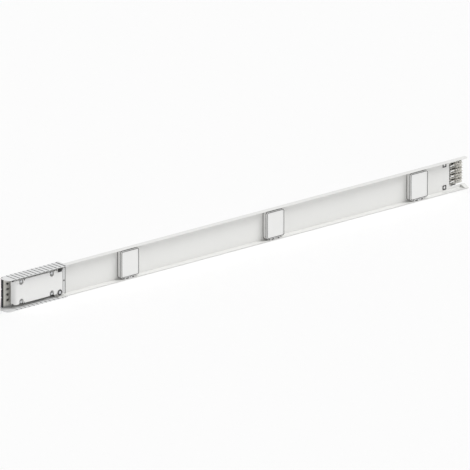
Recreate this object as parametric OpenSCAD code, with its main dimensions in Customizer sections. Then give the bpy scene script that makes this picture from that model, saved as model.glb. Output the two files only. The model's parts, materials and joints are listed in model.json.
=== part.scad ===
// Plug-in busway section: a trunking length with hinged tap-off outlets on its face,
// a joint sleeve at the left end and an open blade end at the right.
// X runs along the length, the outlets face -Y and Z is up.
// The origin is at the middle of the section's footprint, at the foot of the sleeve.

/* [Length] */
// Overall length, from the sleeve's left end to the open right end
section_l = 3190; // [2600:10:4200]
// Distance between outlet centres
outlet_pitch = 1000; // [700:10:1200]
// Distance from the open end to the nearest outlet's centre
outlet_first = 343; // [320:1:420]

/* [Casing] */
// Height of the casing
casing_h = 167; // [160:1:200]
// Depth of the flanges in front of the web
flange_d = 36; // [33:1:50]
// Thickness of the casing sheet
casing_t = 1.5; // [1:0.1:2.4]
// Radius of the casing's inner bends
casing_bend_r = 1.5; // [0.5:0.1:4]
// Depth of the conductor box behind the web
box_d = 30.5; // [26:0.5:50]
// Step from the casing's edge down to the conductor box
box_step = 16; // [14:0.5:20]
// Thickness of the rear cover's sheet
cover_t = 1.2; // [0.8:0.1:2]
// Width of the rear cover's fixing flanges
cover_foot_w = 12; // [6:0.5:12]
// Radius of the top flange's corner at the open end
flange_corner_r = 24; // [5:1:30]

/* [Conductors] */
// Distance between conductor centres
bar_pitch = 29.5; // [27:0.5:30]
// Thickness of a conductor bar
bar_t = 4; // [2:0.5:6]
// Width of a conductor bar, front to back
bar_w = 16; // [12:0.5:18]
// Gap between the web's back and the conductors
bar_gap = 2; // [1:0.5:4]
// Length of an insulating bar support
support_l = 26; // [14:1:50]
// Wall of a bar support round the bars
support_wall = 5; // [3:0.5:9]

/* [Blade end] */
// Length of the window in the web that shows the blades
window_l = 107; // [95:1:125]
// Step from the casing's edge to that window
window_step = 17.5; // [16.5:0.5:21]
// Thickness of a divider between two blades
divider_t = 5; // [3:0.5:8]
// Length of the deep dividers
divider_l = 44; // [30:1:50]
// Thickness of the comb's back plate
comb_t = 3; // [2:0.5:5]
// Chamfer at the comb's left corners
comb_chamfer = 14; // [4:1:20]
// Thickness of a contact blade
blade_t = 3; // [2:0.5:4]
// Length of a contact blade
blade_l = 84; // [72:1:88]
// Side of a square hole near the window
square_hole = 22; // [12:1:26]
// Distance from the open end to the square holes' centres
square_hole_x = 141; // [135:1:170]
// Distance from the casing's edge to the square holes' centres
square_hole_step = 21.5; // [19:0.5:30]
// Length of the guide ramp at the open end
guide_l = 26; // [10:1:40]
// Height of the guide ramp at the web
guide_h = 15; // [8:1:17]

/* [Outlets] */
// Width of an outlet
outlet_w = 123; // [105:1:150]
// Gap above and below an outlet, inside the flanges
outlet_gap = 8; // [7.5:0.5:12]
// Corner radius of an outlet
outlet_r = 12; // [4:1:20]
// Distance from the web to the face of a closed cover
outlet_d = 28.8; // [25:0.2:32]
// Wall of the outlet's frame
frame_wall = 7; // [4:0.5:10]
// Thickness of the cover's panel
cover_panel_t = 3; // [2:0.5:4]
// Depth of the cover, with its rim
cover_d = 7; // [6:0.5:9]
// Wall of the cover's rim
cover_rim_t = 2.5; // [1.5:0.5:4]
// Radius of a hinge knuckle
knuckle_r = 3.3; // [2.6:0.1:3.6]
// Radius of a hinge pin
pin_r = 1.25; // [0.8:0.05:1.5]
// Radial clearance between pin and knuckle
pin_clearance = 0.05; // [0.02:0.01:0.1]
// Distance of a knuckle's centre from the outlet's middle
knuckle_x = 19; // [16:1:24]
// Width of a contact slot in a socket
slot_w = 44; // [30:1:56]
// Height of a contact slot in a socket
slot_h = 9; // [6.5:0.5:14]

/* [Joint sleeve] */
// Length of the sleeve
sleeve_l = 408; // [400:1:460]
// Depth of the sleeve, front to back
sleeve_d = 83; // [81:0.5:96]
// Wall of the sleeve
sleeve_t = 1.8; // [1.4:0.1:3]
// Gap between the sleeve and the casing inside it
sleeve_gap = 0.3; // [0.1:0.1:1]
// How far the sleeve stands in front of the casing
sleeve_lead = 11.5; // [8:0.5:14]
// Radius of the tongues' front corners at the left end
tongue_r = 24; // [8:1:34]
// Length of the tongues past the sleeve's back wall
tongue_l = 25; // [10:1:40]
// How far the next section's end goes into the sleeve
overlap_l = 190; // [180:1:220]
// Distance between the sleeve's grooves
groove_pitch = 28; // [16:1:40]
// Width of a groove
groove_w = 5; // [2:0.5:10]
// Depth of a groove
groove_d = 0.6; // [0.3:0.1:0.7]

/* [Joint insides] */
// Distance from the sleeve's left end to the shroud
shroud_x = 58; // [50:1:75]
// Step from the casing's edge to the shroud
shroud_step = 19; // [18:0.5:21]
// How far the shroud's face lies behind the casing's lips
shroud_setback = 12; // [8:0.5:16]
// Wall of the shroud
shroud_t = 3; // [2:0.5:4]
// Radius of the shroud's round left edge, seen from above
shroud_nose_r = 23; // [10:0.5:23.5]
// Radius of the shroud's left corners, seen from the front
shroud_r = 12; // [5:1:20]
// Width of a screw notch in the shroud
notch_w = 28; // [22:1:34]
// Depth of a screw notch, from the shroud's edge
notch_d = 27; // [20:1:32]
// Distance from the shroud's left side to the first notches
notch_x = 53; // [46:1:70]
// Distance from the shroud's right side to the last notches
notch_end_x = 37; // [20:1:60]
// Radius of a captive screw's head
screw_head_r = 6.5; // [5:0.5:8]
// Radius of a captive screw's shank
screw_r = 4; // [2:0.5:4.5]
// Length of the clamp block at the sleeve's right end
clamp_l = 37; // [30:1:42]
// Step from the casing's edge to the clamp block
clamp_step = 11.5; // [6:0.5:16]
// Length of the post at the sleeve's right end
post_l = 16; // [8:1:24]
// Step from the casing's edge to that post
post_step = 14.5; // [6:0.5:20]
// Radius of the round lock screw
lock_r = 13; // [8:0.5:14]
// Step from the casing's edge to the back block
back_block_step = 11.5; // [6:0.5:16]
// Length of a contact jaw
jaw_l = 84; // [60:1:88]
// Thickness of a jaw's leaf
jaw_leaf_t = 1.5; // [1:0.1:2]

/* [Hidden] */
$fn = 48;
BARS = [1, 2, 3, 4];
OUTLETS = [1, 2, 3];
SUPPORTS = [1, 2, 3, 4];
SCREWS = [1, 2, 3, 4];
// A hair's overlap for cuts that leave a face
cut = 0.5;
// Gap between pieces that slide into each other
fit_gap = 0.3;
// Radius of the rear cover's long edges
box_r = 6;
// Distance from the casing's left end to the first bar support
first_support_x = 70;
// Clearance of the last bar support from the rear cover's end
last_support_gap = 4;
// Relief cut in a bar support
relief_h = 10;
// How far a bar lies under its blade
blade_lap = 14;
// Distance of the blades' tips from the open end
blade_inset = 6;
// Distance between a blade's two pads, in pad radii
pad_pitch = 3.2;
// Step from a blade's pads to its neck and to its tail
neck_step = 3;
tail_step = 2;
// Scallops in the comb's right edge
scallop_r = 7;
// Ledge under a bar, and the lugs behind the web
ledge_t = 2.5;
comb_lug_l = 10;
comb_lug_h = 12;
// Thickness of the guide ramp at the lip and at the web
guide_toe = 2;
guide_top = 3;
// Margins of the throat through the web, within the well and the rear cover
throat_side = 5;
throat_end = 3;
throat_box = 4;
// Places of the hinge's parts
hinge_step = 1.6;
knuckle_gap = 0.4;
left_knuckle_w = 20;
right_knuckle_w = 14;
ear_w = 5;
ear_relief = 0.3;
ear_foot = 3;
ear_root = 2.2;
socket_face_t = 4;
// Distance from the next section's tip to the jaws' bridge
bar_step = 4;
// The jaws: a bridge between the leaves, and a tail on the bar
jaw_pinch = 0.4;
jaw_side = 1;
bridge_l = 3.5;
tail_l = 16;
carrier_l = 34;
carrier_gap = 1;
seal_l = 4;
// Pockets of the back block
pocket_x = 18;
pocket_w = 22;
pocket_h = 14;
pocket_d = 5;
// Where a captive screw's head sits in its notch
head_step = 2;
boss_step = 7;
screw_slot = [1.6, 9];
// The lock screw: place, shank, head and slot
lock_step = 16;
lock_shank_r = 4;
lock_recess = 3;
lock_proud = 1.5;
lock_tail = 3;
lock_slot = [18, 3];
// The top latch: a wedge under the sleeve's upper wall
latch_x = 4;
latch_l = 24;
latch_nose = 8;
latch_h = 16;
latch_lap = 4;
// Plain length of the sleeve at its right end
collar_l = 16;

// Along the length
x_left = -section_l / 2;
x_right = section_l / 2;
x_sleeve_back = x_left + tongue_l;
x_shroud = x_left + shroud_x;
x_sleeve_right = x_left + sleeve_l;
x_post = x_sleeve_right - post_l;
x_clamp = x_post - clamp_l;
x_casing = x_clamp;
x_window = x_right - window_l;

// Front to back
y_sleeve_front = -sleeve_d / 2;
y_sleeve_back = sleeve_d / 2;
y_lip = y_sleeve_front + sleeve_lead;
y_web = y_lip + flange_d;
y_web_back = y_web + casing_t;
y_box_back = y_web_back + box_d;
y_bar = y_web_back + bar_gap;
y_bar_back = y_bar + bar_w;
y_shroud = y_lip + shroud_setback;
y_shroud_back = y_web - fit_gap;
y_comb_back = y_bar_back + cut + comb_t;
y_block = y_comb_back + fit_gap;
y_block_back = y_sleeve_back - sleeve_t;

// Heights that follow the casing's
box_h = casing_h - 2 * box_step;
window_h = casing_h - 2 * window_step;
square_hole_pitch = casing_h - 2 * square_hole_step;
outlet_h = casing_h - 2 * casing_t - 2 * outlet_gap;
shroud_h = casing_h - 2 * shroud_step;
clamp_h = casing_h - 2 * clamp_step;
post_h = casing_h - 2 * post_step;
back_block_h = casing_h - 2 * back_block_step;

// Up
z_casing = sleeve_t + sleeve_gap;
z_mid = z_casing + casing_h / 2;
sleeve_h = casing_h + 2 * z_casing;
function z_bar(i) = z_mid + (i - 2.5) * bar_pitch;
function x_outlet(i) = x_right - outlet_first - (3 - i) * outlet_pitch;

// Outlet values
y_cover_face = y_web - outlet_d;
y_cover_back = y_cover_face + cover_d;
y_frame = y_cover_back + fit_gap;
well_w = outlet_w - 2 * frame_wall;
well_h = outlet_h - 2 * frame_wall;
throat_w = well_w - 2 * throat_side;
throat_h = min(well_h - 2 * throat_end, box_h - 2 * cover_t - 2 * throat_box);
hinge_y = y_cover_face + hinge_step;
z_outlet_foot = z_mid - outlet_h / 2;
hinge_z = z_casing + casing_t + knuckle_r + knuckle_gap;

// A rectangle with round corners, centred, drawn as one exact outline
module round_rect(w, h, r) {
    union() {
        square([w - 2 * r, h], center = true);
        square([w, h - 2 * r], center = true);
        for (sx = [-1, 1], sz = [-1, 1])
            translate([sx * (w / 2 - r), sz * (h / 2 - r)]) circle(r);
    }
}

// Stands a drawing in X and Z up, and gives it a thickness towards +Y from y
module upright(y, d) {
    translate([0, y + d, 0]) rotate([90, 0, 0]) linear_extrude(d) children();
}

// Runs a drawing in Y and Z along X, from x for a length l
module along(x, l) {
    translate([x, 0, 0]) rotate([90, 0, 90]) linear_extrude(l) children();
}

// Lays a drawing in X and Y flat, from height z with thickness h
module flat(z, h) {
    translate([0, 0, z]) linear_extrude(h) children();
}

// ---- Casing ----

// The casing in section: a channel with round bends, open to the front
module channel_section() {
    outer_r = casing_bend_r + casing_t;
    w = flange_d + casing_t;
    translate([y_lip + w / 2, z_mid]) difference() {
        union() {
            translate([-outer_r / 2, 0]) square([w - outer_r, casing_h], center = true);
            square([w, casing_h - 2 * outer_r], center = true);
            for (s = [-1, 1])
                translate([w / 2 - outer_r, s * (casing_h / 2 - outer_r)]) circle(outer_r);
        }
        translate([-w / 2 - cut, 0]) union() {
            translate([0, -casing_h / 2 + casing_t])
                square([flange_d - casing_bend_r + cut, casing_h - 2 * casing_t]);
            translate([0, -casing_h / 2 + casing_t + casing_bend_r])
                square([flange_d + cut, casing_h - 2 * casing_t - 2 * casing_bend_r]);
            for (s = [-1, 1])
                translate([
                    flange_d + cut - casing_bend_r,
                    s * (casing_h / 2 - casing_t - casing_bend_r)
                ]) circle(casing_bend_r);
        }
    }
}

// What is cut from the corner of a flange at the open end, seen from above
module corner_off(x, y, r) {
    difference() {
        translate([x - r, y - cut]) square([r + cut, r + cut]);
        translate([x - r, y + r]) circle(r);
    }
}

module casing() {
    color("whitesmoke") difference() {
        along(x_casing, x_right - x_casing) channel_section();
        for (i = OUTLETS)
            translate([x_outlet(i), 0, z_mid])
                upright(y_web - cut, casing_t + 2 * cut)
                    square([throat_w, throat_h], center = true);
        translate([x_window + window_l / 2, 0, z_mid])
            upright(y_web - cut, casing_t + 2 * cut)
                square([window_l + cut, window_h], center = true);
        for (s = [-1, 1])
            translate([x_right - square_hole_x, 0, z_mid + s * square_hole_pitch / 2])
                upright(y_web - cut, casing_t + 2 * cut)
                    square(square_hole, center = true);
        flat(z_mid, casing_h)
            corner_off(x_right, y_lip, flange_corner_r);
        translate([lock_x, 0, lock_z])
            upright(y_web - cut, casing_t + 2 * cut) circle(lock_shank_r + fit_gap);
    }
}

// ---- Rear cover: a hat section with its feet on the web's back ----

x_cover_end = x_right - overlap_l;

module hat_section() {
    top = box_h / 2;
    difference() {
        union() {
            translate([y_web_back, z_mid - top]) square([box_d - box_r, box_h]);
            translate([y_web_back, z_mid - top + box_r]) square([box_d, box_h - 2 * box_r]);
            for (s = [-1, 1])
                translate([y_box_back - box_r, z_mid + s * (top - box_r)]) circle(box_r);
            translate([y_web_back, z_mid - top - cover_foot_w])
                square([cover_t, box_h + 2 * cover_foot_w]);
        }
        translate([y_web_back - cut, z_mid - top + cover_t])
            square([box_d - box_r + cut, box_h - 2 * cover_t]);
        translate([y_web_back - cut, z_mid - top + box_r])
            square([box_d - cover_t + cut, box_h - 2 * box_r]);
        for (s = [-1, 1])
            translate([y_box_back - box_r, z_mid + s * (top - box_r)]) circle(box_r - cover_t);
    }
}

module rear_cover() {
    color("whitesmoke") along(x_casing, x_cover_end - x_casing) hat_section();
}

// ---- Conductors ----

bar_x = x_left + overlap_l + bar_step;
blade_end = x_right - blade_inset;
blade_x = blade_end - blade_l;
bar_end = blade_x + blade_lap + blade_inset;

module busbar(i) {
    color("silver") translate([bar_x, y_bar, z_bar(i) - bar_t / 2])
        cube([bar_end - bar_x, bar_w, bar_t]);
}

// Supports sit halfway between outlets and just inside both ends
function support_mid(i) =
    i == 1 ? (x_casing + first_support_x)
    : i == 4 ? (x_cover_end - support_l / 2 - last_support_gap)
    : (x_outlet(i - 1) + x_outlet(i)) / 2;

support_h = box_h - 2 * cover_t - 2 * fit_gap;

module bar_support(i) {
    mid = support_mid(i);
    back_h = support_h - 2 * (box_r - cover_t);
    color("dimgray") difference() {
        union() {
            translate([mid - support_l / 2, y_web_back, z_mid - support_h / 2])
                cube([support_l, box_d - box_r, support_h]);
            translate([mid - support_l / 2, y_web_back, z_mid - back_h / 2])
                cube([support_l, box_d - cover_t, back_h]);
        }
        for (k = BARS)
            translate([mid - support_l, y_bar, z_bar(k) - bar_t / 2])
                cube([2 * support_l, bar_w, bar_t]);
        for (k = [0, 1, 2, 3, 4])
            translate([mid - support_l, y_bar + support_wall, z_bar(k + 0.5) - relief_h / 2])
                cube([2 * support_l, box_d, relief_h]);
        for (k = BARS)
            translate([mid - support_l, y_bar_back + support_wall, z_bar(k) - relief_h / 2])
                cube([2 * support_l, box_d, relief_h]);
    }
}

// ---- Blade end ----

comb_w = window_l - fit_gap;
comb_h = window_h - 2 * fit_gap;

module comb_outline() {
    translate([x_window + fit_gap, z_mid]) difference() {
        translate([0, -comb_h / 2]) square([comb_w, comb_h]);
        for (s = [-1, 1])
            translate([0, s * comb_h / 2]) rotate(45)
                square(comb_chamfer * sqrt(2), center = true);
        for (k = BARS)
            translate([comb_w, z_bar(k) - z_mid]) circle(scallop_r);
    }
}

module end_comb() {
    ledge_l = divider_l / 2;
    color("ivory") difference() {
        union() {
            upright(y_comb_back - comb_t, comb_t) comb_outline();
            intersection() {
                upright(y_web, y_comb_back - y_web) comb_outline();
                for (k = [0, 1, 2, 3, 4])
                    translate([x_window, y_web, z_bar(k + 0.5) - divider_t / 2])
                        cube([divider_l, y_comb_back - y_web, divider_t]);
            }
            // Low ribs carry the dividers on between the blades
            for (k = [1, 2, 3])
                translate([
                    x_window + divider_l - cut, y_bar + bar_w / 2, z_bar(k + 0.5) - divider_t / 4
                ])
                    cube([comb_w - divider_l, y_comb_back - y_bar - bar_w / 2, divider_t / 2]);
            // Ledges that the bars lie on
            for (k = BARS)
                translate([x_window + fit_gap, y_bar, z_bar(k) - bar_t / 2 - ledge_t])
                    cube([ledge_l, y_comb_back - y_bar, ledge_t]);
            // Lugs that hold the comb behind the web
            for (k = [1, 2, 3])
                translate([x_window - comb_lug_l, y_web_back, z_bar(k + 0.5) - comb_lug_h / 2])
                    cube([comb_lug_l + divider_l / 2, y_comb_back - y_web_back, comb_lug_h]);
        }
        for (k = BARS)
            translate([x_window - comb_lug_l - cut, y_bar, z_bar(k) - bar_t / 2])
                cube([comb_lug_l + ledge_l + 2 * cut, bar_w + cut, bar_t]);
    }
}

// A blade seen from above: two round contact pads joined by a neck, and a tail on the bar
module blade_outline() {
    pad_r = bar_w / 2;
    inner_x = blade_end - pad_pitch * pad_r;
    translate([blade_end - pad_r, y_bar + pad_r]) circle(pad_r);
    translate([inner_x, y_bar + pad_r]) circle(pad_r);
    translate([inner_x, y_bar + neck_step])
        square([(pad_pitch - 1) * pad_r, bar_w - 2 * neck_step]);
    translate([blade_x, y_bar + tail_step])
        square([inner_x - blade_x, bar_w - 2 * tail_step]);
}

module end_blade(i) {
    color("lightsteelblue") flat(z_bar(i) + bar_t / 2, blade_t) blade_outline();
}

// A ramp in the channel's foot that leads the next sleeve in
module end_guide() {
    foot = z_casing + casing_t;
    color("gainsboro") along(x_right - guide_l, guide_l) polygon([
        [y_lip + guide_toe, foot],
        [y_web - casing_bend_r, foot],
        [y_web, foot + casing_bend_r],
        [y_web, foot + guide_h],
        [y_web - guide_top, foot + guide_h],
        [y_lip + guide_toe, foot + guide_toe]
    ]);
}

// ---- Outlets ----

module outlet_frame(i) {
    depth = y_web - y_frame;
    color("white") translate([x_outlet(i), 0, 0]) {
        difference() {
            union() {
                translate([0, 0, z_mid]) upright(y_frame, depth)
                    round_rect(outlet_w, outlet_h, outlet_r);
                hinge_ears();
            }
            translate([0, 0, z_mid]) upright(y_frame - cut, depth + 2 * cut)
                round_rect(well_w, well_h, outlet_r / 2);
            hinge_bore(pin_r);
        }
    }
}

// Ears on the frame that hold the pin outside each knuckle
module hinge_ears() {
    for (x = [
        -knuckle_x - left_knuckle_w / 2 - knuckle_gap - ear_w,
        -knuckle_x + left_knuckle_w / 2 + knuckle_gap,
        knuckle_x - right_knuckle_w / 2 - knuckle_gap - ear_w,
        knuckle_x + right_knuckle_w / 2 + knuckle_gap
    ])
        along(x, ear_w) union() {
            translate([hinge_y, hinge_z]) circle(knuckle_r - ear_relief);
            translate([hinge_y, hinge_z - knuckle_r + ear_relief])
                square([y_frame + ear_foot - hinge_y, ear_root]);
            translate([y_frame, hinge_z - knuckle_r + ear_relief])
                square([ear_foot, z_outlet_foot + outlet_r - hinge_z + knuckle_r]);
        }
}

pin_l = 2 * knuckle_x + left_knuckle_w / 2 + right_knuckle_w / 2 + 2 * (ear_w + knuckle_gap);
pin_x = -knuckle_x - left_knuckle_w / 2 - knuckle_gap - ear_w;

module hinge_bore(r) {
    translate([pin_x - cut, hinge_y, hinge_z]) rotate([0, 90, 0])
        cylinder(r = r, h = pin_l + 2 * cut);
}

module hinge_pin(i) {
    color("gray") translate([x_outlet(i) + pin_x, hinge_y, hinge_z]) rotate([0, 90, 0])
        cylinder(r = pin_r, h = pin_l);
}

module outlet_cover(i) {
    color("white") translate([x_outlet(i), 0, 0]) difference() {
        union() {
            difference() {
                translate([0, 0, z_mid]) upright(y_cover_face, cover_d)
                    round_rect(outlet_w, outlet_h, outlet_r);
                translate([0, 0, z_mid]) upright(y_cover_face + cover_panel_t, cover_d)
                    round_rect(outlet_w - 2 * cover_rim_t, outlet_h - 2 * cover_rim_t,
                        outlet_r - cover_rim_t);
                // Room for the hinge below the panel
                ear_room();
            }
            knuckle(-knuckle_x, left_knuckle_w);
            knuckle(knuckle_x, right_knuckle_w);
        }
        hinge_bore(pin_r + pin_clearance);
    }
}

// Clears the frame's ears out of the cover's foot
module ear_room() {
    for (x = [
        -knuckle_x - left_knuckle_w / 2 - 2 * knuckle_gap - ear_w,
        -knuckle_x + left_knuckle_w / 2,
        knuckle_x - right_knuckle_w / 2 - 2 * knuckle_gap - ear_w,
        knuckle_x + right_knuckle_w / 2
    ])
        translate([x, y_cover_face - cut, 0])
            cube([ear_w + 2 * knuckle_gap, cover_d + 2 * cut, hinge_z + knuckle_r + knuckle_gap]);
}

module knuckle(x, w) {
    along(x - w / 2, w) union() {
        translate([hinge_y, hinge_z]) circle(knuckle_r);
        translate([hinge_y - hinge_step, hinge_z])
            square([hinge_step + cover_panel_t - cut / 5, z_outlet_foot + cover_panel_t - hinge_z]);
    }
}

// The insulating socket: a flange in the frame's well, and a throat through the web to the bars
module outlet_socket(i) {
    throat_back = y_bar - fit_gap;
    color("dimgray") translate([x_outlet(i), 0, z_mid]) difference() {
        union() {
            upright(y_web - socket_face_t, socket_face_t)
                round_rect(well_w - 2 * fit_gap, well_h - 2 * fit_gap, outlet_r / 2 - fit_gap);
            upright(y_web - cut, throat_back - y_web + cut)
                square([throat_w - 2 * fit_gap, throat_h - 2 * fit_gap], center = true);
        }
        for (k = BARS)
            translate([0, 0, z_bar(k) - z_mid])
                upright(y_web - socket_face_t - cut, throat_back - y_web + socket_face_t + 2 * cut)
                    round_rect(slot_w, slot_h, slot_h / 3);
    }
}

// ---- Joint sleeve ----

module sleeve_section() {
    difference() {
        translate([y_sleeve_front, 0]) square([sleeve_d, sleeve_h]);
        translate([y_sleeve_front - cut, sleeve_t])
            square([sleeve_d - sleeve_t + cut, sleeve_h - 2 * sleeve_t]);
        for (z = [0, sleeve_h])
            translate([y_sleeve_back, z]) rotate(45) square(sleeve_t, center = true);
    }
}

module joint_sleeve() {
    groove_n = floor((sleeve_l - tongue_r - collar_l) / groove_pitch);
    color("gainsboro") difference() {
        along(x_left, sleeve_l) sleeve_section();
        // The back wall stops short of the tongues
        translate([x_left - cut, y_bar_back, sleeve_t])
            cube([tongue_l + cut, sleeve_d, sleeve_h - 2 * sleeve_t]);
        flat(-cut, sleeve_h + 2 * cut) union() {
            mirror([1, 0]) corner_off(-x_left, y_sleeve_front, tongue_r);
            translate([x_left - cut, y_bar_back]) square([tongue_l + cut, sleeve_d]);
        }
        // Grooves outside on both walls, and between them inside
        for (k = [1 : groove_n], z = [-groove_d, sleeve_h - groove_d])
            translate([x_left + tongue_r + k * groove_pitch, y_sleeve_front - cut, z])
                cube([groove_w, sleeve_d + 2 * cut, 2 * groove_d]);
        for (k = [1 : groove_n - 1], z = [sleeve_t - groove_d, sleeve_h - sleeve_t - groove_d])
            translate([x_left + tongue_r + (k + 0.5) * groove_pitch, y_sleeve_front - cut, z])
                cube([groove_w, sleeve_d - sleeve_t, 2 * groove_d]);
    }
}

shroud_l = x_clamp - x_shroud;

// A notch seen from the front, with its mouth on the shroud's edge
module notch_outline(wall) {
    r = notch_w / 2 + wall;
    translate([0, notch_w / 2 - notch_d - cut]) circle(r);
    translate([-r, notch_w / 2 - notch_d - cut]) square([2 * r, notch_d - notch_w / 2 + 2 * cut]);
}

function screw_side(i) = i < 3 ? -1 : 1;
function screw_x(i) = i % 2 == 1 ? x_shroud + notch_x : x_clamp - notch_end_x;
function screw_z(i) = z_mid + screw_side(i) * (shroud_h / 2 - screw_head_r - head_step);

// The shroud from above: a box with a round left edge
module shroud_plan(wall) {
    x0 = x_shroud + wall;
    x1 = x_clamp - wall;
    y0 = y_shroud + wall;
    r = shroud_nose_r - wall;
    union() {
        translate([x0 + r, y0]) square([x1 - x0 - r, y_shroud_back - y0]);
        translate([x0, y0 + r]) square([x1 - x0, y_shroud_back - y0 - r]);
        translate([x0 + r, y0 + r]) circle(r);
    }
}

module shroud_body(wall) {
    intersection() {
        flat(0, sleeve_h) shroud_plan(wall);
        translate([x_shroud + shroud_l / 2, 0, z_mid])
            upright(y_shroud, y_shroud_back - y_shroud)
                round_rect(shroud_l - 2 * wall, shroud_h - 2 * wall, shroud_r - wall);
    }
}

// Places a shape at a notch, turned so that its mouth meets the shroud's edge
module at_notch(i) {
    translate([screw_x(i), 0, z_mid + screw_side(i) * (shroud_h / 2 + cut)])
        mirror([0, 0, screw_side(i) < 0 ? 1 : 0]) children();
}

y_notch_floor = y_shroud_back - shroud_t;
y_boss = y_shroud + boss_step;

module joint_shroud() {
    color("white") difference() {
        union() {
            difference() {
                shroud_body(0);
                shroud_body(shroud_t);
                translate([
                    x_shroud + shroud_nose_r, y_notch_floor - cut, z_mid - shroud_h / 2 + shroud_t
                ]) cube([
                    shroud_l - shroud_nose_r - shroud_t, shroud_t + 2 * cut, shroud_h - 2 * shroud_t
                ]);
            }
            // Pockets round the notches
            intersection() {
                shroud_body(0);
                for (i = SCREWS)
                    at_notch(i) upright(y_shroud, y_shroud_back - y_shroud) notch_outline(shroud_t);
            }
        }
        for (i = SCREWS) {
            difference() {
                at_notch(i) upright(y_shroud - cut, y_notch_floor - y_shroud + cut) notch_outline(0);
                translate([screw_x(i), 0, screw_z(i)])
                    upright(y_boss, y_notch_floor - y_boss + cut) circle(screw_head_r);
            }
            translate([screw_x(i), 0, screw_z(i)])
                upright(y_boss - cut, y_shroud_back - y_boss + 2 * cut) circle(screw_r);
        }
    }
}

// The insulating block on the sleeve's rear wall, with a row of pockets at its left end
module back_block() {
    color("dimgray") difference() {
        translate([x_sleeve_back + seal_l, y_block, z_mid - back_block_h / 2])
            cube([x_clamp - x_sleeve_back - seal_l, y_block_back - y_block, back_block_h]);
        for (k = BARS)
            translate([x_sleeve_back + seal_l + pocket_x, y_block - cut, z_bar(k) - pocket_h / 2])
                cube([pocket_w, pocket_d + cut, pocket_h]);
    }
}

// Holds the bars' ends between the shroud and the back block
module jaw_carrier() {
    carrier_x = bar_x + tail_l + 2 * carrier_gap;
    carrier_h = shroud_h - 2 * shroud_t - 2 * carrier_gap;
    color("dimgray") difference() {
        translate([carrier_x, y_web, z_mid - carrier_h / 2])
            cube([carrier_l, y_block - y_web, carrier_h]);
        for (k = BARS)
            translate([carrier_x - cut, y_bar, z_bar(k) - bar_t / 2])
                cube([carrier_l + 2 * cut, bar_w, bar_t]);
    }
}

// Two leaves that grip the next section's blade, a bridge, and a tail on the bar
module contact_jaw(i) {
    gap = blade_t - jaw_pinch;
    blade_mid = z_bar(i) + bar_t / 2 + blade_t / 2;
    low = blade_mid - gap / 2 - jaw_leaf_t;
    high = blade_mid + gap / 2;
    y = y_bar + jaw_side;
    w = bar_w - 2 * jaw_side;
    color("goldenrod") union() {
        translate([bar_x - jaw_l, y, low]) cube([jaw_l, w, jaw_leaf_t]);
        translate([bar_x - jaw_l, y, high]) cube([jaw_l, w, jaw_leaf_t]);
        translate([bar_x - bridge_l, y, low]) cube([bridge_l, w, high + jaw_leaf_t - low]);
        translate([bar_x - cut, y, z_bar(i) + bar_t / 2]) cube([tail_l + cut, w, jaw_leaf_t]);
    }
}

// A rubber strip on the block's left end, with two notches in its outer edge
module end_seal() {
    notch_h = 8;
    color("dimgray") difference() {
        translate([x_sleeve_back, y_block, z_mid - back_block_h / 2])
            cube([seal_l, y_block_back - y_block, back_block_h]);
        for (z = [0.3, 0.6])
            translate([
                x_sleeve_back - cut, y_block_back - seal_l, z_mid + (z - 0.5) * back_block_h
            ])
                cube([seal_l + 2 * cut, seal_l + cut, notch_h]);
    }
}

// ---- Clamp block and post at the sleeve's right end ----

lock_x = x_clamp + lock_step;
lock_z = z_mid - clamp_h / 2 + lock_r;
y_clamp = y_shroud;

module clamp_block() {
    color("white") difference() {
        translate([x_clamp, y_clamp, z_mid - clamp_h / 2])
            cube([clamp_l, y_web - y_clamp, clamp_h]);
        translate([lock_x, 0, lock_z]) upright(y_clamp - cut, y_web - y_clamp + 2 * cut)
            circle(lock_shank_r + fit_gap);
        translate([lock_x, 0, lock_z]) upright(y_clamp - cut, lock_recess + cut) circle(lock_r + fit_gap);
    }
}

module end_post() {
    color("gainsboro") translate([x_post, y_clamp + 1, z_mid - post_h / 2])
        cube([post_l, y_web - y_clamp - 1, post_h]);
}

module lock_screw() {
    color("silver") translate([lock_x, 0, lock_z]) difference() {
        union() {
            upright(y_clamp - lock_proud, lock_proud + lock_recess) circle(lock_r);
            upright(y_clamp, y_web_back + lock_tail - y_clamp) circle(lock_shank_r);
        }
        upright(y_clamp - lock_proud - cut, lock_proud + cut) square(lock_slot, center = true);
    }
}

module top_latch() {
    color("dimgray") translate([0, 0, z_mid + clamp_h / 2])
        along(x_clamp + latch_x, latch_l) polygon([
            [y_clamp - latch_nose, -latch_lap], [y_clamp, -latch_lap - latch_h],
            [y_clamp, 0], [y_clamp - latch_nose, 0]
        ]);
}

module captive_screw(i) {
    color("silver") translate([screw_x(i), 0, screw_z(i)]) difference() {
        union() {
            upright(y_shroud + head_step, y_boss - y_shroud - head_step) circle(screw_head_r);
            upright(y_shroud + head_step, y_shroud_back - y_shroud - head_step) circle(screw_r);
        }
        upright(y_shroud + head_step - cut, 3 * cut) square(screw_slot, center = true);
    }
}

casing();
rear_cover();
for (i = BARS) busbar(i);
for (i = SUPPORTS) bar_support(i);
end_comb();
for (i = BARS) end_blade(i);
for (i = OUTLETS) outlet_frame(i);
for (i = OUTLETS) outlet_socket(i);
for (i = OUTLETS) outlet_cover(i);
for (i = OUTLETS) hinge_pin(i);
joint_sleeve();
joint_shroud();
back_block();
for (i = BARS) contact_jaw(i);
jaw_carrier();
end_guide();
end_seal();
clamp_block();
end_post();
lock_screw();
top_latch();
for (i = SCREWS) captive_screw(i);
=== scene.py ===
"""The looks of a plug-in busway section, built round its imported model.

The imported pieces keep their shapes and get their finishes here. Small pieces that the model
leaves out, such as rivets and screw heads, are made as meshes. Lengths are in metres.
"""

import json
import math

import bmesh
import bpy
from mathutils import Matrix, Vector


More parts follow.
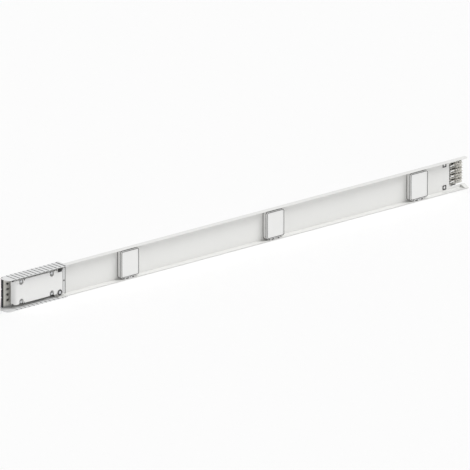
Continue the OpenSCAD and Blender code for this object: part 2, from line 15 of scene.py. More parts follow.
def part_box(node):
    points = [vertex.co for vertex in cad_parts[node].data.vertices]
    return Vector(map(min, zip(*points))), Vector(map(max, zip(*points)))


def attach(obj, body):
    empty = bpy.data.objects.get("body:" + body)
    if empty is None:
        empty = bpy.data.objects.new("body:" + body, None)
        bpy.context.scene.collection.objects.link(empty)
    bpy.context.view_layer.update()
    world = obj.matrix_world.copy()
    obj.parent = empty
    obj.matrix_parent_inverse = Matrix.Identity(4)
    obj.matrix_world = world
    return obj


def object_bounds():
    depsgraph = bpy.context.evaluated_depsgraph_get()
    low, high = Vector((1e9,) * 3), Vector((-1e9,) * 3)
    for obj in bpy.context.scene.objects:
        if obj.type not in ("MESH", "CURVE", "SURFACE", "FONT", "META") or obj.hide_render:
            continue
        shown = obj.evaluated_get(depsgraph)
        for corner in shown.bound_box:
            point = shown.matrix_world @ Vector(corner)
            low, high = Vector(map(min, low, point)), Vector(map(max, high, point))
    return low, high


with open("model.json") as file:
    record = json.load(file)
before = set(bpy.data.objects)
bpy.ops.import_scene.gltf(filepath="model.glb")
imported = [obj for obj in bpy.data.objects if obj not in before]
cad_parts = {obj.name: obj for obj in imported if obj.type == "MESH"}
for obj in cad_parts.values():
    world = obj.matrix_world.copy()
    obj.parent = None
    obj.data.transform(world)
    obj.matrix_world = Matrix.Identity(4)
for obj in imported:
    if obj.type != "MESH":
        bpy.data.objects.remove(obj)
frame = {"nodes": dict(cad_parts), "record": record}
cad_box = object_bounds()
nodes = frame["nodes"]
MM = 0.001
BARS = (1, 2, 3, 4)
OUTLETS = (1, 2, 3)
# Halfway up the casing, where the outlets and the conductors are centred
MIDDLE = sum(corner.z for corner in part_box("casing")) / 2


# ---- Camera, light and floor ----

VIEW_TURN = math.radians(40.85)
VIEW_RISE = math.radians(18.1)
VIEW_WIDTH = 2.453
LENS = 1500
SENSOR = 36
AIM_RIGHT = -0.0065
AIM_UP = -0.012
FLOOR_RADIUS = 40


def make_camera():
    """A very long lens far off, so that the run keeps one scale from end to end."""
    low, high = cad_box
    right = Vector((math.cos(VIEW_TURN), -math.sin(VIEW_TURN), 0))
    back = Vector((
        -math.sin(VIEW_TURN) * math.cos(VIEW_RISE),
        -math.cos(VIEW_TURN) * math.cos(VIEW_RISE),
        math.sin(VIEW_RISE),
    ))
    up = back.cross(right)
    aim = (low + high) / 2 + right * AIM_RIGHT + up * AIM_UP
    data = bpy.data.cameras.new("camera")
    data.lens = LENS
    data.sensor_width = SENSOR
    distance = VIEW_WIDTH * LENS / SENSOR
    data.clip_start = distance / 2
    data.clip_end = distance * 2
    camera = bpy.data.objects.new("camera", data)
    camera.matrix_world = Matrix.Translation(aim + back * distance) @ Matrix(
        (right, up, back)
    ).transposed().to_4x4()
    bpy.context.scene.collection.objects.link(camera)
    bpy.context.scene.camera = camera


def make_world(strength):
    """Even light from all round, and plain white behind."""
    world = bpy.data.worlds.new("studio")
    world.use_nodes = True
    tree = world.node_tree
    tree.nodes.clear()
    seen = tree.nodes.new("ShaderNodeLightPath")
    shown = tree.nodes.new("ShaderNodeMath")
    shown.operation = "MAXIMUM"
    shine = tree.nodes.new("ShaderNodeMath")
    shine.operation = "MAXIMUM"
    level = tree.nodes.new("ShaderNodeMapRange")
    level.inputs["To Min"].default_value = strength
    level.inputs["To Max"].default_value = 1.0
    glow = tree.nodes.new("ShaderNodeBackground")
    glow.inputs["Color"].default_value = (1, 1, 1, 1)
    out = tree.nodes.new("ShaderNodeOutputWorld")
    link = tree.links.new
    link(seen.outputs["Is Camera Ray"], shown.inputs[0])
    link(seen.outputs["Is Glossy Ray"], shown.inputs[1])
    link(shown.outputs[0], shine.inputs[0])
    link(seen.outputs["Is Transmission Ray"], shine.inputs[1])
    link(shine.outputs[0], level.inputs["Value"])
    link(level.outputs["Result"], glow.inputs["Strength"])
    link(glow.outputs[0], out.inputs["Surface"])
    bpy.context.scene.world = world


def make_sun(name, turn, rise, strength, softness):
    """A soft distant lamp that shines from that direction."""
    data = bpy.data.lights.new(name, "SUN")
    data.energy = strength
    data.angle = math.radians(softness)
    lamp = bpy.data.objects.new(name, data)
    turn, rise = math.radians(turn), math.radians(rise)
    source = Vector((
        math.sin(turn) * math.cos(rise), -math.cos(turn) * math.cos(rise), math.sin(rise)
    ))
    lamp.rotation_mode = "QUATERNION"
    lamp.rotation_quaternion = source.to_track_quat("Z", "Y")
    bpy.context.scene.collection.objects.link(lamp)


def make_floor():
    mesh = bmesh.new()
    bmesh.ops.create_circle(mesh, cap_ends=True, segments=64, radius=FLOOR_RADIUS)
    floor = as_object(mesh, "floor")
    material = bpy.data.materials.new("pale_floor")
    material.use_nodes = True
    surface = material.node_tree.nodes["Principled BSDF"]
    surface.inputs["Base Color"].default_value = (0.985, 0.985, 0.985, 1)
    surface.inputs["Roughness"].default_value = 0.9
    surface.inputs["Specular IOR Level"].default_value = 0.1
    floor.data.materials.append(material)


def as_object(mesh, name, flat=True):
    """Turns a bmesh into a linked object at the origin."""
    data = bpy.data.meshes.new(name)
    mesh.to_mesh(data)
    mesh.free()
    data.polygons.foreach_set("use_smooth", [not flat] * len(data.polygons))
    made = bpy.data.objects.new(name, data)
    bpy.context.scene.collection.objects.link(made)
    return made


# ---- Node groups ----


def new_group(name, inputs, outputs):
    group = bpy.data.node_groups.new(name, "ShaderNodeTree")
    for label, kind, value in inputs:
        socket = group.interface.new_socket(label, in_out="INPUT", socket_type=kind)
        socket.default_value = value
    for label, kind in outputs:
        group.interface.new_socket(label, in_out="OUTPUT", socket_type=kind)
    start = group.nodes.new("NodeGroupInput")
    end = group.nodes.new("NodeGroupOutput")
    return group, start, end


def edge_wear_group():
    """A mask of rubbed edges: where a rounded normal leaves the true one, broken up by noise."""
    group, start, end = new_group(
        "rubbed_edges",
        [("Radius", "NodeSocketFloat", 0.001), ("Breakup", "NodeSocketFloat", 60.0)],
        [("Mask", "NodeSocketFloat"), ("Normal", "NodeSocketVector")],
    )
    make, link = group.nodes.new, group.links.new
    rounded = make("ShaderNodeBevel")
    rounded.samples = 6
    true = make("ShaderNodeNewGeometry")
    turn = make("ShaderNodeVectorMath")
    turn.operation = "DOT_PRODUCT"
    curve = make("ShaderNodeMapRange")
    curve.inputs["From Min"].default_value = 0.995
    curve.inputs["From Max"].default_value = 0.80
    place = make("ShaderNodeTexCoord")
    noise = make("ShaderNodeTexNoise")
    noise.inputs["Detail"].default_value = 6.0
    noise.inputs["Roughness"].default_value = 0.65
    patches = make("ShaderNodeMapRange")
    patches.inputs["From Min"].default_value = 0.46
    patches.inputs["From Max"].default_value = 0.62
    both = make("ShaderNodeMath")
    both.operation = "MULTIPLY"
    link(start.outputs["Radius"], rounded.inputs["Radius"])
    link(rounded.outputs["Normal"], turn.inputs[0])
    link(true.outputs["Normal"], turn.inputs[1])
    link(turn.outputs["Value"], curve.inputs["Value"])
    link(place.outputs["Object"], noise.inputs["Vector"])
    link(start.outputs["Breakup"], noise.inputs["Scale"])
    link(noise.outputs["Fac"], patches.inputs["Value"])
    link(curve.outputs["Result"], both.inputs[0])
    link(patches.outputs["Result"], both.inputs[1])
    link(both.outputs[0], end.inputs["Mask"])
    link(rounded.outputs["Normal"], end.inputs["Normal"])
    return group


def mottle_group():
    """Slow and quick variation of a surface: two noises, one broad and one fine."""
    group, start, end = new_group(
        "mottle",
        [("Broad", "NodeSocketFloat", 3.0), ("Fine", "NodeSocketFloat", 400.0)],
        [("Broad", "NodeSocketFloat"), ("Fine", "NodeSocketFloat")],
    )
    make, link = group.nodes.new, group.links.new
    place = make("ShaderNodeTexCoord")
    for label, detail in (("Broad", 4.0), ("Fine", 2.0)):
        noise = make("ShaderNodeTexNoise")
        noise.inputs["Detail"].default_value = detail
        link(place.outputs["Object"], noise.inputs["Vector"])
        link(start.outputs[label], noise.inputs["Scale"])
        link(noise.outputs["Fac"], end.inputs[label])
    return group


def corner_shade_group():
    """Painted shade in corners and recesses: a mask from the occlusion there, broken up by noise.
    """
    group, start, end = new_group(
        "painted_corner_shade",
        [("Reach", "NodeSocketFloat", 0.02), ("Patchiness", "NodeSocketFloat", 9.0)],
        [("Mask", "NodeSocketFloat")],
    )
    make, link = group.nodes.new, group.links.new
    shade = make("ShaderNodeAmbientOcclusion")
    shade.samples = 6
    corner = make("ShaderNodeMapRange")
    corner.inputs["From Min"].default_value = 0.85
    corner.inputs["From Max"].default_value = 0.35
    place = make("ShaderNodeTexCoord")
    noise = make("ShaderNodeTexNoise")
    noise.inputs["Detail"].default_value = 5.0
    both = make("ShaderNodeMath")
    both.operation = "MULTIPLY"
    link(start.outputs["Reach"], shade.inputs["Distance"])
    link(shade.outputs["AO"], corner.inputs["Value"])
    link(place.outputs["Object"], noise.inputs["Vector"])
    link(start.outputs["Patchiness"], noise.inputs["Scale"])
    link(corner.outputs["Result"], both.inputs[0])
    link(noise.outputs["Fac"], both.inputs[1])
    link(both.outputs[0], end.inputs["Mask"])
    return group


RUBBED = edge_wear_group()
MOTTLE = mottle_group()
CORNER_SHADE = corner_shade_group()


class Finish:
    """A material under construction, with the shared effects wired to its Principled shader."""

    def __init__(self, name, colour, metallic=0.0):
        self.material = bpy.data.materials.new(name)
        self.material.use_nodes = True
        self.tree = self.material.node_tree
        self.shader = self.tree.nodes["Principled BSDF"]
        self.shader.inputs["Metallic"].default_value = metallic
        self.colour = None
        self.start_colour = (*colour, 1)

    def make(self, kind):
        return self.tree.nodes.new(kind)

    def link(self, a, b):
        self.tree.links.new(a, b)

    def group(self, group, **values):
        node = self.make("ShaderNodeGroup")
        node.node_tree = group
        for label, value in values.items():
            node.inputs[label].default_value = value
        return node

    def tint(self, mask, colour, most):
        """Lays another colour over what is there, by a mask."""
        share = self.make("ShaderNodeMath")
        share.operation = "MULTIPLY"
        share.inputs[1].default_value = most
        self.link(mask, share.inputs[0])
        mix = self.make("ShaderNodeMix")
        mix.data_type = "RGBA"
        mix.inputs[6].default_value = self.start_colour
        mix.inputs[7].default_value = (*colour, 1)
        if self.colour is not None:
            self.link(self.colour, mix.inputs[6])
        self.link(share.outputs[0], mix.inputs[0])
        self.colour = mix.outputs[2]

    def vary_roughness(self, source, low, high):
        spread = self.make("ShaderNodeMapRange")
        spread.inputs["From Min"].default_value = 0.3
        spread.inputs["From Max"].default_value = 0.7
        spread.inputs["To Min"].default_value = low
        spread.inputs["To Max"].default_value = high
        self.link(source, spread.inputs["Value"])
        self.link(spread.outputs["Result"], self.shader.inputs["Roughness"])

    def bump(self, height, depth, normal):
        bump = self.make("ShaderNodeBump")
        bump.inputs["Strength"].default_value = 1.0
        bump.inputs["Distance"].default_value = depth
        self.link(height, bump.inputs["Height"])
        self.link(normal, bump.inputs["Normal"])
        self.link(bump.outputs["Normal"], self.shader.inputs["Normal"])

    def done(self):
        self.link(self.colour, self.shader.inputs["Base Color"])
        return self.material


def powder_coat(name, colour, bare, edge):
    """Powder coat on steel: orange peel, faint mottling, bare metal at rubbed edges."""
    f = Finish(name, colour)
    rubbed = f.group(RUBBED, Radius=edge, Breakup=45.0)
    mottle = f.group(MOTTLE, Broad=2.2, Fine=520.0)
    corner_shade = f.group(CORNER_SHADE, Reach=0.02, Patchiness=7.0)
    darker = tuple(c * 0.94 for c in colour)
    f.tint(mottle.outputs["Broad"], darker, 0.5)
    # Painted shade: corners and recesses darkened by the occlusion mask
    f.tint(corner_shade.outputs["Mask"], (0.55, 0.53, 0.49), 0.35)
    f.tint(rubbed.outputs["Mask"], bare, 0.35)
    f.vary_roughness(mottle.outputs["Broad"], 0.38, 0.52)
    f.bump(mottle.outputs["Fine"], 0.00006, rubbed.outputs["Normal"])
    return f.done()


def moulded_plastic(name, colour, grain, roughness, edge):
    """Moulded plastic with a fine spark-eroded texture and softened edges."""
    f = Finish(name, colour)
    rubbed = f.group(RUBBED, Radius=edge, Breakup=80.0)
    mottle = f.group(MOTTLE, Broad=6.0, Fine=grain)
    corner_shade = f.group(CORNER_SHADE, Reach=0.012, Patchiness=12.0)
    f.tint(mottle.outputs["Broad"], tuple(c * 0.93 for c in colour), 0.5)
    # Painted shade: corners and recesses darkened by the occlusion mask
    f.tint(corner_shade.outputs["Mask"], (0.5, 0.48, 0.45), 0.3)
    f.tint(rubbed.outputs["Mask"], tuple(min(1, c * 1.15 + 0.03) for c in colour), 0.5)
    f.vary_roughness(mottle.outputs["Fine"], roughness - 0.07, roughness + 0.07)
    f.bump(mottle.outputs["Fine"], 0.00008, rubbed.outputs["Normal"])
    return f.done()


def drawn_metal(name, colour, roughness, stretch, edge):
    """Bare metal with fine lines along X, a dull film and bright edges."""
    f = Finish(name, colour, metallic=1.0)
    rubbed = f.group(RUBBED, Radius=edge, Breakup=90.0)
    mottle = f.group(MOTTLE, Broad=8.0, Fine=300.0)
    place = f.make("ShaderNodeTexCoord")
    squeeze = f.make("ShaderNodeMapping")
    squeeze.inputs["Scale"].default_value = stretch
    lines = f.make("ShaderNodeTexNoise")
    lines.inputs["Scale"].default_value = 900.0
    lines.inputs["Detail"].default_value = 3.0
    f.link(place.outputs["Object"], squeeze.inputs["Vector"])
    f.link(squeeze.outputs["Vector"], lines.inputs["Vector"])
    f.tint(mottle.outputs["Broad"], tuple(c * 0.78 for c in colour), 0.6)
    f.tint(rubbed.outputs["Mask"], tuple(min(1, c * 1.2) for c in colour), 0.6)
    f.vary_roughness(lines.outputs["Fac"], roughness - 0.1, roughness + 0.12)
    f.bump(lines.outputs["Fac"], 0.00003, rubbed.outputs["Normal"])
    return f.done()


BARE_STEEL = (0.45, 0.45, 0.46)

FINISHES = {
    "painted_steel": powder_coat(
        "off_white_powder_coat", (0.80, 0.80, 0.785), bare=BARE_STEEL, edge=0.0012
    ),
    "sleeve_metal": powder_coat(
        "light_grey_powder_coat", (0.74, 0.745, 0.745), bare=BARE_STEEL, edge=0.0012
    ),
    "conductor_metal": drawn_metal(
        "drawn_aluminium", (0.77, 0.78, 0.79), roughness=0.34, stretch=(0.02, 1, 1), edge=0.0008
    ),
    "silvered_contact": drawn_metal(
        "tinned_copper", (0.74, 0.72, 0.68), roughness=0.28, stretch=(1, 0.05, 1), edge=0.0006
    ),
    "zinc_steel": drawn_metal(
        "bright_zinc", (0.66, 0.67, 0.69), roughness=0.33, stretch=(1, 1, 1), edge=0.0006
    ),
    "white_plastic": moulded_plastic(
        "white_moulded_plastic", (0.82, 0.82, 0.81), grain=900.0, roughness=0.42, edge=0.0015
    ),
    "comb_insulator": moulded_plastic(
        "cream_moulded_resin", (0.72, 0.71, 0.66), grain=700.0, roughness=0.5, edge=0.0008
    ),
    "dark_insulator": moulded_plastic(
        "dark_moulded_resin", (0.05, 0.05, 0.055), grain=700.0, roughness=0.5, edge=0.0008
    ),
    "seal_rubber": moulded_plastic(
        "seal_rubber", (0.025, 0.025, 0.025), grain=500.0, roughness=0.7, edge=0.0008
    ),
}


def dress_cad():
    for part in frame["record"]["subparts"]:
        made = nodes[part["node"]]
        made.data.materials.clear()
        made.data.materials.append(FINISHES[part["material_slot"]])


# ---- Shapes that the small pieces are made from ----


def join(mesh, shape, matrix=None):
    """Adds a finished shape to a piece's mesh, and lets go of it."""
    if matrix is not None:
        bmesh.ops.transform(shape, matrix=matrix, verts=shape.verts)
    bmesh.ops.recalc_face_normals(shape, faces=shape.faces)
    held = bpy.data.meshes.new("held")
    shape.to_mesh(held)
    shape.free()
    mesh.from_mesh(held)
    bpy.data.meshes.remove(held)


def add_block(mesh, low, high, edge, steps=2):
    """A block between two corners, with rounded edges."""
    shape = bmesh.new()
    bmesh.ops.create_cube(shape, size=1)
    low, high = Vector(low), Vector(high)
    bmesh.ops.scale(shape, vec=high - low, verts=shape.verts)
    bmesh.ops.translate(shape, vec=(low + high) / 2, verts=shape.verts)
    round_edges(shape, edge, steps)
    join(mesh, shape)


def round_edges(shape, edge, steps=2):
    """Rounds the edges of a shape that turn by more than half a right angle."""
    sharp = [e for e in shape.edges if e.calc_face_angle(0) > math.radians(45)]
    bmesh.ops.bevel(
        shape, geom=sharp, offset=edge, segments=steps, profile=0.5, affect="EDGES", material=-1
    )


def facing_front(x, y, z):
    """Turns a shape drawn flat to face the front, with its foot at that depth."""
    return Matrix.Translation((x, y, z)) @ Matrix.Rotation(math.radians(90), 4, "X")


def facing_back(x, y, z):
    return Matrix.Translation((x, y, z)) @ Matrix.Rotation(math.radians(-90), 4, "X")


def add_ring(mesh, place, width, height, corner, wall, depth, edge):
    """A frame with round corners, that wide and high outside."""
    shape = bmesh.new()
    bmesh.ops.create_grid(shape, x_segments=1, y_segments=1, size=0.5)
    bmesh.ops.scale(shape, vec=(width, height, 1), verts=shape.verts)
    bmesh.ops.bevel(
        shape, geom=shape.verts[:], offset=corner, segments=6, profile=0.5,
        affect="VERTICES", material=-1,
    )
    wall_faces = bmesh.ops.inset_region(
        shape, faces=shape.faces[:], thickness=wall, use_even_offset=True, use_boundary=True
    )["faces"]
    hole = [f for f in shape.faces if f not in set(wall_faces)]
    bmesh.ops.delete(shape, geom=hole, context="FACES")
    thicken(shape, depth)
    round_edges(shape, edge)
    join(mesh, shape, place)


def add_plate(mesh, place, width, height, corner, depth, edge):
    """A plate with round corners."""
    shape = bmesh.new()
    bmesh.ops.create_grid(shape, x_segments=1, y_segments=1, size=0.5)
    bmesh.ops.scale(shape, vec=(width, height, 1), verts=shape.verts)
    bmesh.ops.bevel(
        shape, geom=shape.verts[:], offset=corner, segments=5, profile=0.5,
        affect="VERTICES", material=-1,
    )
    thicken(shape, depth)
    round_edges(shape, edge)
    join(mesh, shape, place)


def add_round_ring(mesh, place, outer, inner, depth, edge, sides=32):
    """A washer, or a short tube."""
    shape = bmesh.new()
    bmesh.ops.create_circle(shape, cap_ends=True, segments=sides, radius=outer)
    wall_faces = bmesh.ops.inset_region(
        shape, faces=shape.faces[:], thickness=outer - inner, use_even_offset=True,
        use_boundary=True,
    )["faces"]
    hole = [f for f in shape.faces if f not in set(wall_faces)]
    bmesh.ops.delete(shape, geom=hole, context="FACES")
    thicken(shape, depth)
    round_edges(shape, edge)
    join(mesh, shape, place)


def thicken(shape, depth):
    """Gives a flat sheet its depth, upwards."""
    raised = bmesh.ops.extrude_face_region(shape, geom=shape.faces[:])["geom"]
    verts = [v for v in raised if isinstance(v, bmesh.types.BMVert)]
    bmesh.ops.translate(shape, vec=(0, 0, depth), verts=verts)
    bmesh.ops.recalc_face_normals(shape, faces=shape.faces)


def add_dome(mesh, place, radius, height, sides=20):
    """A low domed head, such as a rivet's, with a small upright rim."""
    shape = bmesh.new()
    rim = height * 0.25
    steps = 5
    points = [(0, 0, 0), (radius, 0, 0), (radius, 0, rim)]
    for n in range(1, steps + 1):
        turn = math.radians(90) * n / steps
        points.append((radius * math.cos(turn), 0, rim + (height - rim) * math.sin(turn)))
    points[-1] = (0, 0, height)
    verts = [shape.verts.new(p) for p in points]
    edges = [shape.edges.new(pair) for pair in zip(verts, verts[1:])]
    bmesh.ops.spin(
        shape, geom=verts + edges, cent=(0, 0, 0), axis=(0, 0, 1),
        angle=math.radians(360), steps=sides, use_merge=True,
    )
    bmesh.ops.remove_doubles(shape, verts=shape.verts, dist=1e-7)
    join(mesh, shape, place)


def finish_piece(mesh, name, slot, body="section", flat=True):
    """Makes the object, gives it the finish of its slot, and fixes it to its body."""
    piece = as_object(mesh, name, flat)
    piece.data.materials.append(FINISHES[slot])
    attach(piece, body)


# ---- Sleeve ----

SLEEVE_GROOVES = 13
GROOVE_PITCH = 28 * MM
FIRST_GROOVE = 26.5 * MM
COLLAR_LENGTH = 15 * MM


def make_sleeve_ribs():
    """Grip ribs in the grooves on top, and flush strips in the grooves of the lower wall, both made
    dark as painted shade for the grooves.
    """
    low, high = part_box("joint_sleeve")
    on_top = bmesh.new()
    inside = bmesh.new()
    for n in range(1, SLEEVE_GROOVES + 1):
        x = low.x + FIRST_GROOVE + n * GROOVE_PITCH
        add_block(
            on_top, (x - 1.7 * MM, low.y + 2.5 * MM, high.z - 0.6 * MM),
            (x + 1.7 * MM, high.y - 4 * MM, high.z + 1.1 * MM), 0.6 * MM,
        )
        if n == SLEEVE_GROOVES:
            break
        x += GROOVE_PITCH / 2
        add_block(
            inside, (x - 1.9 * MM, low.y + 2 * MM, low.z + 1.2 * MM),
            (x + 1.9 * MM, -19 * MM, low.z + 1.95 * MM), 0.2 * MM, 1,
        )
    finish_piece(on_top, "sleeve_ribs_shade_dark", "dark_insulator")
    finish_piece(inside, "lower_strips_shade_dark", "dark_insulator")


def make_sleeve_end():
    """The collar on top of the sleeve's right end, and the lip seal that meets the casing."""
    low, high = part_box("joint_sleeve")
    casing_low, casing_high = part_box("casing")
    collar = bmesh.new()
    add_block(
        collar, (high.x - COLLAR_LENGTH, low.y, high.z - 0.5 * MM),
        (high.x, high.y - 2 * MM, high.z + 1.8 * MM), 0.8 * MM, 3,
    )
    for bottom, top in ((low.z + 1.6 * MM, low.z + 7 * MM), (high.z - 7 * MM, high.z - 1.6 * MM)):
        add_block(
            collar, (high.x - COLLAR_LENGTH, low.y + 0.3 * MM, bottom),
            (high.x - 0.3 * MM, low.y + 9 * MM, top), 1.2 * MM, 3,
        )
    finish_piece(collar, "sleeve_collar", "sleeve_metal")
    seal = bmesh.new()
    add_block(
        seal, (high.x - 0.8 * MM, casing_low.y - 1 * MM, casing_high.z - 0.3 * MM),
        (high.x + 2.2 * MM, casing_low.y + 39 * MM, high.z + 0.6 * MM), 0.5 * MM,
    )
    post_low, post_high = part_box("end_post")
    for x in (post_low.x, post_high.x):
        add_block(
            seal, (x - 1.2 * MM, post_low.y - 1.6 * MM, post_low.z - 4 * MM),
            (x + 1.2 * MM, post_low.y + 6 * MM, post_high.z + 4 * MM), 0.4 * MM,
        )
    middle = (post_low + post_high) / 2
    add_block(
        seal, (middle.x - 3 * MM, post_low.y - 1.2 * MM, middle.z - 4 * MM),
        (middle.x + 3 * MM, post_low.y + 1 * MM, middle.z + 4 * MM), 0.5 * MM,
    )
    finish_piece(seal, "sleeve_end_seal", "seal_rubber")


def make_shroud_clips():
    """Dark snap clips that hold the shroud at its left corners and beside its first notches."""
    low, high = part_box("joint_shroud")
    clips = bmesh.new()
    for corner_z, notch_z in (
        ((high.z - 6 * MM, high.z + 3 * MM), (high.z - 8 * MM, high.z + 2 * MM)),
        ((low.z - 3 * MM, low.z + 6 * MM), (low.z - 4 * MM, low.z + 6 * MM)),
    ):
        add_block(
            clips, (low.x + 3 * MM, low.y + 9 * MM, corner_z[0]),
            (low.x + 13 * MM, low.y + 18 * MM, corner_z[1]), 1 * MM,
        )
        add_block(
            clips, (low.x + 72 * MM, low.y - 1 * MM, notch_z[0]),
            (low.x + 76 * MM, low.y + 4 * MM, notch_z[1]), 0.8 * MM,
        )
    finish_piece(clips, "shroud_clips", "dark_insulator")


def make_lock_seal():
    """Two dark rings round the lock screw."""
    low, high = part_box("lock_screw")
    x, z = (low.x + high.x) / 2, (low.z + high.z) / 2
    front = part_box("clamp_block")[0].y
    ring = bmesh.new()
    add_round_ring(
        ring, facing_front(x, front + 0.3 * MM, z), 15.5 * MM, 13.3 * MM, 1.5 * MM, 0.5 * MM, 40
    )
    add_round_ring(
        ring, facing_front(x, low.y + 0.3 * MM, z), 13.2 * MM, 8.4 * MM, 1.3 * MM, 0.5 * MM, 40
    )
    finish_piece(ring, "lock_screw_ring", "seal_rubber")


def make_wall_trim():
    """Rubber edging on the left edge of the sleeve's rear wall, in three lengths."""
    seal_low, seal_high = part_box("end_seal")
    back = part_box("joint_sleeve")[1].y
    low, high = seal_low.z - 8 * MM, seal_high.z + 8 * MM
    height = high - low
    trim = bmesh.new()
    for start, end in ((0, 0.31), (0.34, 0.60), (0.63, 1)):
        add_block(
            trim, (seal_low.x - 1.6 * MM, seal_low.y + 1 * MM, low + height * start),
            (seal_low.x + 4 * MM, back + 1.4 * MM, low + height * end), 0.9 * MM,
        )
    finish_piece(trim, "sleeve_wall_trim", "seal_rubber")


POCKET_INSET = 29 * MM


def make_block_crosses():
    """A small cross rib in each pocket of the back block."""
    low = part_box("back_block")[0]
    crosses = bmesh.new()
    for n in BARS:
        z = bar_height(n)
        x = low.x + POCKET_INSET
        for half_w, half_h in ((10.5 * MM, 1 * MM), (1 * MM, 6.8 * MM)):
            add_block(
                crosses, (x - half_w, low.y + 1.2 * MM, z - half_h),
                (x + half_w, low.y + 5.2 * MM, z + half_h), 0.3 * MM, 1,
            )
    finish_piece(crosses, "pocket_crosses", "dark_insulator")


def bar_height(n):
    low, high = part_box("busbar_%d" % n)
    return (low.z + high.z) / 2


# ---- Outlets ----


def make_outlet_trim(n):
    """Seals round an outlet's foot and lip; on its cover, a dark ring on the face as painted shade,
    and dark tubes over the hinge knuckles as painted shade.
    """
    low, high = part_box("outlet_cover_%d" % n)
    frame_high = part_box("outlet_frame_%d" % n)[1]
    pin_low, pin_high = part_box("hinge_pin_%d" % n)
    x = (low.x + high.x) / 2
    width = high.x - low.x
    top = frame_high.z
    height = 2 * (top - MIDDLE)
    seals = bmesh.new()
    add_ring(
        seals, facing_front(x, frame_high.y + 0.1 * MM, MIDDLE), width + 4 * MM, height + 4 * MM,
        14 * MM, 3.5 * MM, 2 * MM, 0.6 * MM,
    )
    add_ring(
        seals, facing_front(x, low.y + 9.1 * MM, MIDDLE), width + 1.6 * MM, height + 1.6 * MM,
        12.8 * MM, 1.6 * MM, 2.6 * MM, 0.5 * MM,
    )
    finish_piece(seals, "outlet_seals_%d" % n, "seal_rubber")
    # A dark ring on the cover's face: painted shade along the cover's edge
    shade_line = bmesh.new()
    add_ring(
        shade_line, facing_front(x, low.y + 0.4 * MM, MIDDLE), width - 6 * MM, height - 6 * MM,
        9.5 * MM, 2.4 * MM, 0.5 * MM, 0.1 * MM,
    )
    finish_piece(shade_line, "cover_line_%d" % n, "dark_insulator", "cover_%d" % n)
    # Dark tubes over the hinge knuckles: painted shade where the white knuckles sit in shadow under
    # the cover
    shade_sleeves = bmesh.new()
    hinge_y, hinge_z = (pin_low.y + pin_high.y) / 2, (pin_low.z + pin_high.z) / 2
    for middle, length in ((-19 * MM, 19 * MM), (19 * MM, 13 * MM)):
        place = Matrix.Translation((x + middle - length / 2, hinge_y, hinge_z)) @ Matrix.Rotation(
            math.radians(90), 4, "Y"
        )
        add_round_ring(shade_sleeves, place, 3.6 * MM, 3.2 * MM, length, 0.12 * MM, 24)
    finish_piece(shade_sleeves, "hinge_shade_sleeves_%d" % n, "dark_insulator", "cover_%d" % n)


# ---- Blade end ----

WINDOW_LENGTH = 107 * MM
SQUARE_HOLE_INSET = 141 * MM
SQUARE_HOLE_RISE = 62 * MM
SQUARE_HOLE = 21.6 * MM
PLUG_RIM = 25 * MM
PLUG_HEAD = 12 * MM
OUTER_CELL_START = 14.5 * MM
INNER_CELL_START = 1.5 * MM
BLADE_RINGS = (8 * MM, 25.6 * MM)


def make_web_plugs():
    """Plugs in the two square holes of the web: a dark rim and a pale head."""
    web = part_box("outlet_frame_3")[1].y
    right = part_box("casing")[1].x
    x = right - SQUARE_HOLE_INSET
    rims = bmesh.new()
    heads = bmesh.new()
    for side in (-1, 1):
        z = MIDDLE + side * SQUARE_HOLE_RISE
        add_ring(
            rims, facing_front(x, web + 0.3 * MM, z), PLUG_RIM, PLUG_RIM, 3 * MM, 4 * MM,
            2.3 * MM, 0.6 * MM,
        )
        add_plate(
            rims, facing_front(x, web + 3.5 * MM, z), SQUARE_HOLE, SQUARE_HOLE, 1 * MM,
            2.2 * MM, 0.3 * MM,
        )
        add_plate(
            heads, facing_front(x, web + 1.2 * MM, z), PLUG_HEAD, PLUG_HEAD, 2 * MM,
            2.6 * MM, 0.7 * MM,
        )
    finish_piece(rims, "web_plug_rims", "dark_insulator")
    finish_piece(heads, "web_plug_heads", "white_plastic")


def make_comb_details():
    """Dark liner plates behind the bars' ends as painted shade inside the cells, and ring bosses
    behind the blades.
    """
    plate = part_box("end_comb")[1].y - 3 * MM
    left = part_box("casing")[1].x - WINDOW_LENGTH
    shade_liners = bmesh.new()
    rings = bmesh.new()
    for n in BARS:
        z = bar_height(n)
        start = OUTER_CELL_START if n in (BARS[0], BARS[-1]) else INNER_CELL_START
        add_block(
            shade_liners, (left + start, plate - 0.45 * MM, z - 11.8 * MM),
            (left + 43 * MM, plate + 0.2 * MM, z + 11.8 * MM), 0.15 * MM, 1,
        )
        blade_low, blade_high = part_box("end_blade_%d" % n)
        for inset in BLADE_RINGS:
            add_round_ring(
                rings, facing_front(blade_high.x - inset, plate + 0.2 * MM, blade_low.z + 1.5 * MM),
                10.5 * MM, 7.5 * MM, 0.6 * MM, 0.15 * MM, 32,
            )
    finish_piece(shade_liners, "comb_shade_liners", "dark_insulator")
    finish_piece(rings, "comb_rings", "dark_insulator")


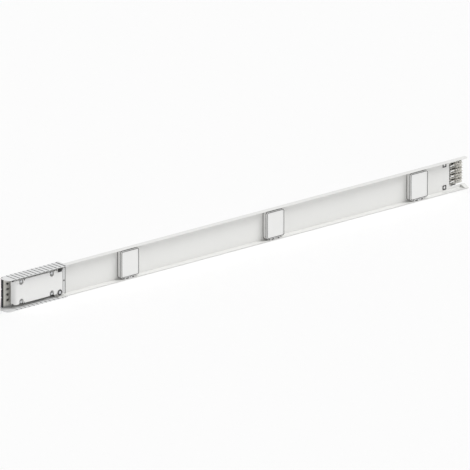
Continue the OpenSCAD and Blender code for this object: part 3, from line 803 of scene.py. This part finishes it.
def make_cell_ladder():
    """A dark ladder in the web's window: two uprights and a rung in front of each divider."""
    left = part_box("casing")[1].x - WINDOW_LENGTH
    low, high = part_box("end_comb")
    front = low.y + 0.2 * MM
    ladder = bmesh.new()
    pitch = bar_height(2) - bar_height(1)
    for start in (1.2 * MM, 42 * MM):
        add_block(
            ladder, (left + start, front, low.z + 14.5 * MM),
            (left + start + 2.6 * MM, front + 2.2 * MM, high.z - 14.5 * MM), 0.5 * MM,
        )
    for n in range(5):
        z = bar_height(1) + (n - 0.5) * pitch
        inset = 9 * MM if n in (0, 4) else 2 * MM
        add_block(
            ladder, (left + inset, front - 0.2 * MM, z - 3 * MM),
            (left + 44 * MM, front + 1.2 * MM, z + 3 * MM), 0.5 * MM,
        )
    finish_piece(ladder, "comb_ladder", "dark_insulator")


# ---- Rear ----

REAR_RIVETS = 12
FIRST_RIVET = 40 * MM
LAST_RIVET = 20 * MM
LEFT_SCREWS = 70 * MM
RIGHT_SCREWS = 90 * MM
SCREW_RISE = 55 * MM


def make_rear_rivets():
    """Rivet heads along both feet of the rear cover, and four screws behind the sleeve."""
    low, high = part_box("rear_cover")
    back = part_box("busbar_1")[0].y - 0.8 * MM
    rivets = bmesh.new()
    sleeve_low, sleeve_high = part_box("joint_sleeve")
    start, end = sleeve_high.x + FIRST_RIVET, high.x - LAST_RIVET
    for n in range(REAR_RIVETS):
        x = start + (end - start) * n / (REAR_RIVETS - 1)
        for z in (low.z + 6 * MM, high.z - 6 * MM):
            add_dome(rivets, facing_back(x, back - 0.1 * MM, z), 3.2 * MM, 1.4 * MM)
    finish_piece(rivets, "rear_rivets", "zinc_steel", flat=False)
    screws = bmesh.new()
    for x in (sleeve_low.x + LEFT_SCREWS, sleeve_high.x - RIGHT_SCREWS):
        for side in (-1, 1):
            add_dome(
                screws, facing_back(x, sleeve_high.y - 0.1 * MM, MIDDLE + side * SCREW_RISE),
                5 * MM, 1.8 * MM, 28,
            )
    finish_piece(screws, "sleeve_rear_screws", "zinc_steel", flat=False)


# ---- The scene ----

dress_cad()

make_sleeve_ribs()
make_sleeve_end()
make_shroud_clips()
make_lock_seal()
make_wall_trim()
make_block_crosses()
for number in OUTLETS:
    make_outlet_trim(number)
make_web_plugs()
make_comb_details()
make_cell_ladder()
make_rear_rivets()
make_camera()
make_world(strength=0.5)
make_sun("key", turn=50, rise=50, strength=2.0, softness=40)
make_floor()
bpy.context.scene.view_settings.view_transform = "Standard"
